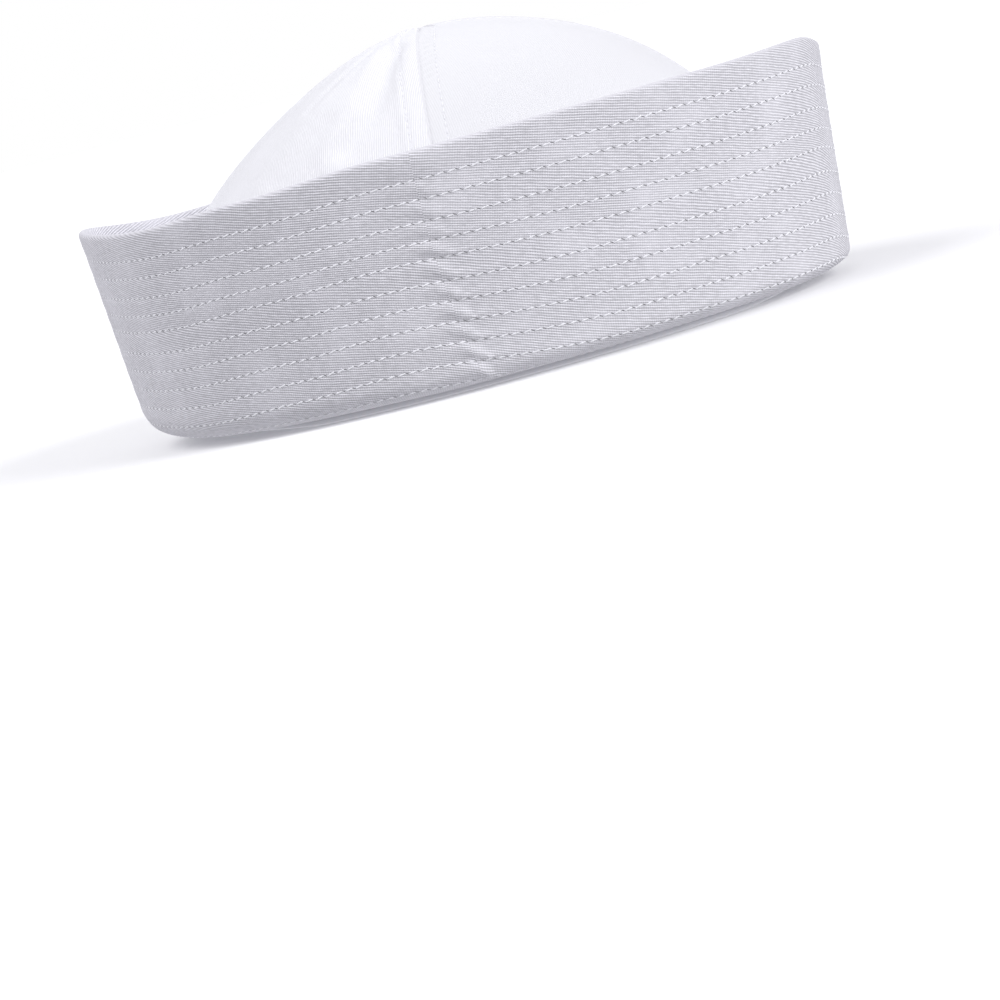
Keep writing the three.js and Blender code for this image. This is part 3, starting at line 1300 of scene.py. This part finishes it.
@dataclass
class CrownCloth:
    """The cloth of the whole crown: its dome, its felled seams, creases and puckers.

    lap and under are the plies on a seam's two sides: their height, and where they end and fade.
    """

    form: CapForm
    seams: tuple[CrownSeam, ...] = CROWN_SEAMS
    row_offset: float = 5.5 * MM
    lap_height: float = 0.55 * MM
    lap_end: float = 5.6 * MM
    lap_fade: float = 4.2 * MM
    lap_groove: float = 0.24 * MM
    under_height: float = 0.12 * MM
    under_end: float = 5.2 * MM
    under_fade: float = 2.0 * MM
    under_groove: float = 0.18 * MM
    groove_reach: float = 1.0 * MM
    edge_groove: float = 0.38 * MM
    edge_reach: float = 1.3 * MM
    pucker: float = 0.42 * MM
    pucker_pitch: float = 3.8 * MM
    pucker_slant: float = 7 * MM
    top_height: float = 0.3 * MM
    foot_gap: float = 0.3 * MM
    courses: list[tuple[Crease, list[Vector]]] = field(init=False)

    def __post_init__(self) -> None:
        """Places the creases on the dome."""
        self.courses = [
            (crease, [self.form.crown_point(*place, 0) for place in crease.course])
            for crease in CREASES
        ]

    def radius(self, azimuth: float) -> float:
        """Length of cloth for each radian of azimuth, at the crown's foot.

        Args:
            azimuth: Place round the cap, in degrees.

        Returns:
            The length.
        """
        angle = math.radians(azimuth)
        width = self.form.half_width * (1 - self.form.back_fullness * math.cos(angle))
        return math.hypot(self.form.half_length * math.sin(angle), width * math.cos(angle))

    def lateral(self, azimuth: float, elevation: float, seam: CrownSeam) -> float:
        """Length of cloth from a seam, positive on the side whose gore lies on top."""
        gap = math.radians(turn(azimuth, seam.azimuth)) * math.cos(math.radians(elevation))
        return gap * self.radius(seam.azimuth) * seam.lap

    def beside(self, seam: CrownSeam, lateral: float, elevation: float) -> float:
        """Azimuth at a length of cloth from a seam."""
        level = self.radius(seam.azimuth) * math.cos(math.radians(elevation))
        return seam.azimuth + seam.lap * math.degrees(lateral / level)

    def sewing(self, azimuth: float, elevation: float) -> float:
        """How far a felled seam's plies, stitch grooves and puckers stand out at one place.

        Args:
            azimuth: Place round the cap, in degrees.
            elevation: Height on the dome, in degrees.

        Returns:
            The height in metres.
        """
        height = 0.0
        arc = math.radians(elevation) * self.form.crown_height
        near_top = ease((90 - elevation) / 4)
        for seam in self.seams:
            side = self.lateral(azimuth, elevation, seam)
            off = abs(side)
            if off > 3 * self.row_offset or abs(turn(azimuth, seam.azimuth)) > 60:
                continue
            groove = hump(off - self.row_offset, self.groove_reach)
            if side >= 0:
                plies = self.lap_height * (1 - ease((off - self.lap_end) / self.lap_fade))
                height += plies - self.lap_groove * groove
            else:
                plies = self.under_height * (1 - ease((off - self.under_end) / self.under_fade))
                wave = math.sin(2 * math.pi * (arc / self.pucker_pitch - off / self.pucker_slant))
                slack = ease((elevation - 50) / 14) * ease((86 - elevation) / 6)
                between = math.sin(math.pi * min(1.0, off / self.row_offset))
                height += plies - self.under_groove * groove + self.pucker * wave * slack * between
                height -= self.edge_groove * hump(off, self.edge_reach)
        return mix(self.top_height, height, near_top)

    def creasing(self, point: Vector) -> float:
        """Depth of the creases at a point of the dome.

        Args:
            point: A point of the plain dome.

        Returns:
            The depth, negative on the low ridge beside each crease.
        """
        depth = 0.0
        for crease, course in self.courses:
            gaps = []
            for start, end in zip(course, course[1:]):
                foot, share = intersect_point_line(point, start, end)
                held = start.lerp(end, min(1.0, max(0.0, share)))
                gaps.append((point - held).length)
            gap = min(gaps)
            width = crease.half_width * MM
            depth += crease.depth * MM * (hump(gap, width) - 0.4 * hump(gap - 1.7 * width, width))
        return depth

    def surface(self, azimuth: float, elevation: float) -> Vector:
        """Point of the crown's outer face.

        Args:
            azimuth: Place round the cap, in degrees.
            elevation: Height on the dome, in degrees.

        Returns:
            The point.
        """
        plain = self.form.crown_point(azimuth, elevation, 0)
        raised = self.sewing(azimuth, elevation) - self.creasing(plain)
        return self.form.crown_point(azimuth, elevation, -raised)

    def foot_elevation(self, azimuth: float) -> float:
        """Elevation of the crown's lower edge, which is sewn to the brim's."""
        height = self.form.around("lift", azimuth) + self.form.brim_cloth + self.foot_gap
        return self.form.elevation_at(height, 0)


@dataclass
class CrownGore:
    """One gore of the crown, between two seams."""

    name: str
    node: str
    cloth: CrownCloth
    start: CrownSeam
    end: CrownSeam
    edge_steps: int = 16
    middle_steps: int = 36
    rows: int = 120
    edge_width: float = 9.5 * MM
    edge_share: float = 0.33  # the most of the gore that an edge takes, near the top

    def azimuth(self, column: int, elevation: float) -> float:
        """Azimuth of a column; the columns beside a seam keep their distance from it.

        Args:
            column: Index from the start seam.
            elevation: Height on the dome, in degrees.

        Returns:
            The azimuth, in degrees.
        """
        first = self.start.azimuth
        last = first + turn(self.end.azimuth, first)
        level = math.cos(math.radians(elevation))
        edges = []
        for seam in (self.start, self.end):
            metres = max(self.cloth.radius(seam.azimuth) * level, 0.01 * MM)
            edges.append(min(math.degrees(self.edge_width / metres), self.edge_share * (last - first)))
        if column <= self.edge_steps:
            return first + edges[0] * column / self.edge_steps
        beyond = column - self.edge_steps
        if beyond <= self.middle_steps:
            return mix(first + edges[0], last - edges[1], beyond / self.middle_steps)
        return last - edges[1] * (1 - (beyond - self.middle_steps) / self.edge_steps)

    def spot(self, column: int, row: int) -> ClothSpot:
        """Place of one grid point.

        Args:
            column: Index across the gore.
            row: Index up from its foot.

        Returns:
            The point and its cloth coordinate, which is flat about the gore's middle line.
        """
        middle = self.start.azimuth + turn(self.end.azimuth, self.start.azimuth) / 2
        foot = self.cloth.foot_elevation(middle)
        rough = mix(foot, 90, row / self.rows)
        azimuth = self.azimuth(column, rough)
        elevation = mix(self.cloth.foot_elevation(azimuth), 90, row / self.rows)
        level = math.cos(math.radians(elevation))
        across = math.radians(azimuth - middle) * self.cloth.radius(azimuth) * level
        up = math.radians(elevation) * self.cloth.form.crown_height
        return self.cloth.surface(azimuth, elevation), (across, up)

    def build(self, finish: bpy.types.Material) -> bpy.types.Object:
        """Cuts the gore, bends it over the dome and gives it its thickness.

        Args:
            finish: The twill's material.

        Returns:
            The piece.
        """
        sheet = ClothSheet(2 * self.edge_steps + self.middle_steps, self.rows)
        sheet.bend(self.spot)
        sheet.weld()
        sheet.face_outwards()
        sheet.thicken(self.cloth.form.crown_cloth)
        return attach(sheet.finished(self.name, finish), "crown_twill", self.node)


@dataclass
class SeamStitching:
    """The two rows of topstitching beside one seam of the crown."""

    name: str
    cloth: CrownCloth
    seam: CrownSeam
    hole_pitch: float = 2.9 * MM
    top_elevation: float = 84.5
    feel: float = 0.2  # degrees over which the cloth's directions are felt

    def holes(self, side: int) -> list[NeedleHole]:
        """Needle holes of the row on one side of the seam.

        Args:
            side: 1 on the gore that lies on top, -1 on the other.

        Returns:
            For each hole its place, the direction out of the cloth and the direction across the row.
        """
        step = math.degrees(self.hole_pitch / self.cloth.form.crown_height)
        elevation = self.cloth.foot_elevation(self.seam.azimuth) + step
        found = []
        while elevation < self.top_elevation:
            azimuth = self.cloth.beside(self.seam, side * self.cloth.row_offset, elevation)
            place = self.cloth.surface(azimuth, elevation)
            upwards = self.cloth.surface(azimuth, elevation + self.feel) - place
            aside = self.feel / math.cos(math.radians(elevation))
            ahead = self.cloth.surface(azimuth + aside, elevation) - place
            outwards = ahead.cross(upwards).normalized()
            found.append((place, outwards, ahead.normalized()))
            elevation += step
        return found

    def build(self, needle: Needle, finish: bpy.types.Material) -> list[bpy.types.Object]:
        """Sews both rows.

        Args:
            needle: What sews them.
            finish: The thread's material.

        Returns:
            The row on the upper gore, then that on the lower.
        """
        pieces = []
        for side, word in ((1, "upper"), (-1, "lower")):
            piece = needle.row(f"{self.name}_{word}_row", finish, self.holes(side))
            pieces.append(attach(piece, "crown_twill"))
        return pieces


# ---------------------------------------------------------------------------------------------------
# The headband
# ---------------------------------------------------------------------------------------------------


@dataclass
class HeadBand:
    """The tape sewn inside the crown's foot, whose lower edge shows under the brim's fold."""

    name: str
    node: str
    form: CapForm
    columns: int = 300
    rows_up: int = 14
    edge_rows: int = 4
    edge_round: float = 0.5 * MM

    def track(self) -> list[tuple[float, float]]:
        """Rows of the tape's section, in order.

        Returns:
            For each row the share of the tape's height and of its depth.
        """
        outer = [(step / self.rows_up, 0.0) for step in range(self.rows_up + 1)]
        top = [(1.0, step / self.edge_rows) for step in range(1, self.edge_rows)]
        inner = [(1 - step / self.rows_up, 1.0) for step in range(self.rows_up + 1)]
        foot = [(0.0, 1 - step / self.edge_rows) for step in range(1, self.edge_rows + 1)]
        return [*outer, *top, *inner, *foot]

    def spot(self, column: int, row: int) -> ClothSpot:
        """Place of one grid point.

        Args:
            column: Index round the band.
            row: Index round its section.

        Returns:
            The point and its cloth coordinate.
        """
        azimuth = 360 * column / self.columns
        rise, sink = self.track()[row]
        lip = self.form.around("lip", azimuth)
        height = mix(lip, self.form.band_top, rise)
        under = self.form.crown_cloth + self.form.band_slack + sink * self.form.band_cloth
        if rise == 0.0 and sink == 0.0:
            height += self.edge_round
        point = self.form.crown_point(azimuth, self.form.elevation_at(height, under), under)
        along = math.radians(azimuth) * self.form.half_length
        return point, (along, height + sink * self.form.band_cloth)

    def build(self, finish: bpy.types.Material) -> bpy.types.Object:
        """Cuts the tape and joins it into a ring.

        Args:
            finish: The tape's material.

        Returns:
            The piece.
        """
        sheet = ClothSheet(self.columns, len(self.track()) - 1)
        sheet.bend(self.spot)
        sheet.weld()
        sheet.close()
        return attach(sheet.finished(self.name, finish), "band_cotton", self.node)


# ---------------------------------------------------------------------------------------------------
# The studio
# ---------------------------------------------------------------------------------------------------


@dataclass(frozen=True)
class Lamp:
    """A soft far light; spread is how wide it looks from the cap, in degrees."""

    name: str
    azimuth: float
    elevation: float
    strength: float
    spread: float

    def build(self) -> bpy.types.Object:
        """Hangs the light.

        Returns:
            The light, shining towards the cap.
        """
        data = bpy.data.lights.new(self.name, "SUN")
        data.energy = self.strength
        data.angle = math.radians(self.spread)
        light = bpy.data.objects.new(self.name, data)
        azimuth = math.radians(self.azimuth)
        rise = math.radians(self.elevation)
        level = Vector((math.cos(azimuth), math.sin(azimuth), 0)) * math.cos(rise)
        light.rotation_mode = "QUATERNION"
        light.rotation_quaternion = (level + Vector((0, 0, math.sin(rise)))).to_track_quat("Z", "Y")
        bpy.context.scene.collection.objects.link(light)
        return light


@dataclass
class Studio:
    """A plain white floor without end, a graded sky, two soft lamps and the camera.

    The sky rises from its horizon to its ceiling and falls to its ground; ramps are how fast each
    comes in with the direction's rise, and where.
    """

    floor_radius: float = 14.0
    ceiling: Colour = (0.68, 0.68, 0.72, 1.0)
    horizon: Colour = (0.12, 0.12, 0.13, 1.0)
    ground: Colour = (1.02, 1.02, 1.06, 1.0)
    backdrop: Colour = (1.0, 1.0, 1.0, 1.0)
    ceiling_ramp: tuple[float, float] = (2.0, 0.1)
    ground_ramp: tuple[float, float] = (1.2, 0.2)
    lamps: tuple[Lamp, ...] = (
        Lamp("key", -35.0, 26.0, 1.96, 40.0),
        Lamp("fill", -171.0, 46.0, 1.46, 60.0),
    )
    camera_distance: float = 1.2
    camera_azimuth: float = 2.0
    camera_height: float = 0.1016
    aim: tuple[float, float, float] = (-0.0125, 0.0, -0.0427)
    roll: float = 14.7
    lens: float = 140.4

    def build_camera(self) -> bpy.types.Object:
        """Makes the camera, turned about its own axis so that the cap's front is raised.

        Returns:
            The camera, set as the scene's.
        """
        turned = math.radians(self.camera_azimuth)
        level = Vector((math.sin(turned), -math.cos(turned), 0)) * self.camera_distance
        place = Vector((level.x, level.y, self.camera_height))
        looking = (Vector(self.aim) - place).normalized()
        level_view = looking.to_track_quat("-Z", "Y").to_matrix()
        rotation = level_view @ Matrix.Rotation(math.radians(-self.roll), 3, "Z")
        data = bpy.data.cameras.new("camera")
        data.lens = self.lens
        data.sensor_width = 36.0
        data.clip_start = 0.05
        data.clip_end = 60.0
        camera = bpy.data.objects.new("camera", data)
        camera.matrix_world = Matrix.Translation(place) @ rotation.to_4x4()
        bpy.context.scene.collection.objects.link(camera)
        bpy.context.scene.camera = camera
        return camera

    def build_floor(self) -> bpy.types.Object:
        """Lays the floor that the cap rests on.

        Returns:
            The floor.
        """
        mesh = bmesh.new()
        bmesh.ops.create_circle(mesh, cap_ends=True, segments=96, radius=self.floor_radius)
        floor = finished("floor", mesh, FloorFinish().material())
        floor.visible_diffuse = False  # the light from below is the soft ground's
        floor.visible_shadow = False
        return floor

    def build_sky(self) -> None:
        """Lights the cap from above and, more strongly, from below, before a white backdrop."""
        world = bpy.data.worlds.new("studio_sky")
        bpy.context.scene.world = world
        world.use_nodes = True
        bench = Bench(world.node_tree)
        direction = bench.wire("ShaderNodeTexCoord", {}, {}, "Generated")
        rise = bench.wire("ShaderNodeSeparateXYZ", {}, {0: direction}, 2)
        up_rate, up_start = self.ceiling_ramp
        down_rate, down_start = self.ground_ramp
        above = bench.blend(self.horizon, self.ceiling, rise * up_rate + up_start)
        around = bench.blend(above, self.ground, 0.0 - rise * down_rate - down_start)
        seen = bench.wire("ShaderNodeLightPath", {}, {}, "Is Camera Ray")
        colour = bench.blend(around, self.backdrop, seen)
        glow = bench.wire("ShaderNodeBackground", {}, {"Color": colour})
        bench.node("ShaderNodeOutputWorld", {}, {"Surface": glow})

    def build(self) -> None:
        """Builds the whole studio."""
        self.build_camera()
        self.build_floor()
        for lamp in self.lamps:
            lamp.build()
        self.build_sky()
        bpy.context.scene.view_settings.view_transform = "Standard"


# ---------------------------------------------------------------------------------------------------
# Building
# ---------------------------------------------------------------------------------------------------

WHITE_TWILL = (0.95, 0.94, 1.0, 1.0)
BRIM_RIB_ANGLE = -14.5
GORE_RIB_ANGLES = {"back_right": 113.0, "front_right": 67.0, "back_left": 67.0, "front_left": 113.0}
# Painted shade: the gores are the brim's white cotton, dimmed in their tint so that the light from
# above does not wash them out, the front gores, which face the key lamp, more than the back ones.
BACK_GORE_PAINTED_SHADE_TWILL = (0.85, 0.85, 0.88, 1.0)
FRONT_GORE_PAINTED_SHADE_TWILL = (0.735, 0.735, 0.76, 1.0)
TAPE_WHITE = (0.86, 0.86, 0.90, 1.0)
# Painted shade: the crown's thread is the brim's white thread, dimmed along with the crown's cloth.
CROWN_THREAD_PAINTED_SHADE = (0.84, 0.84, 0.88, 1.0)


def build_brim(form: CapForm) -> None:
    """Builds both halves of the brim and sews them.

    Args:
        form: What they are cut to.
    """
    grid = StitchGrid()
    cloth = BrimCloth(form, grid)
    twill = TwillFinish("brim_twill", WHITE_TWILL, BRIM_RIB_ANGLE, holes=grid).material()
    thread = ThreadFinish("brim_thread").material()
    needle = Needle()
    left, right = cloth.seams
    for word, start, end in (("front", right - 360, left), ("back", left, right)):
        BrimHalf(f"brim_{word}_cloth", f"brim_{word}", cloth, start, end).build(twill)
        BrimStitching(f"brim_{word}", cloth, start, end).build(needle, thread)


def build_crown(form: CapForm) -> None:
    """Builds the four gores of the crown and topstitches their seams.

    Args:
        form: What they are cut to.
    """
    cloth = CrownCloth(form)
    thread = ThreadFinish("crown_thread", CROWN_THREAD_PAINTED_SHADE).material()
    needle = Needle(width=0.46 * MM, height=0.34 * MM, lean=0.1 * MM)
    words = ("front_left", "back_left", "back_right", "front_right")
    for index, word in enumerate(words):
        start = cloth.seams[index]
        end = cloth.seams[(index + 1) % len(cloth.seams)]
        behind = word.startswith("back")
        twill = TwillFinish(
            f"crown_twill_{word}",
            BACK_GORE_PAINTED_SHADE_TWILL if behind else FRONT_GORE_PAINTED_SHADE_TWILL,
            GORE_RIB_ANGLES[word],
            rib_pitch=0.66 * MM,
            groove_painted_shade=0.82 if behind else 0.96,
            relief=0.07 * MM if behind else 0.03 * MM,
            float_share=0.06,
        )
        gore = CrownGore(f"crown_{word}_cloth", f"crown_gore_{word}", cloth, start, end)
        gore.build(twill.material())
    for seam, word in zip(cloth.seams, ("front", "left", "back", "right")):
        SeamStitching(f"crown_{word}_seam", cloth, seam).build(needle, thread)


def build_headband(form: CapForm) -> None:
    """Builds the headband."""
    tape = TwillFinish("band_tape", TAPE_WHITE, 0.0, 0.5 * MM, 0.94, 0.04 * MM)
    HeadBand("headband_tape", "headband", form).build(tape.material())


def main() -> None:
    """Builds the studio and the cap."""
    logging.basicConfig(level=logging.INFO, format="%(name)s %(message)s")
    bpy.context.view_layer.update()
    form = CapForm.from_frame()
    Studio().build()
    build_brim(form)
    build_crown(form)
    build_headband(form)


if __name__ == "__main__":
    main()
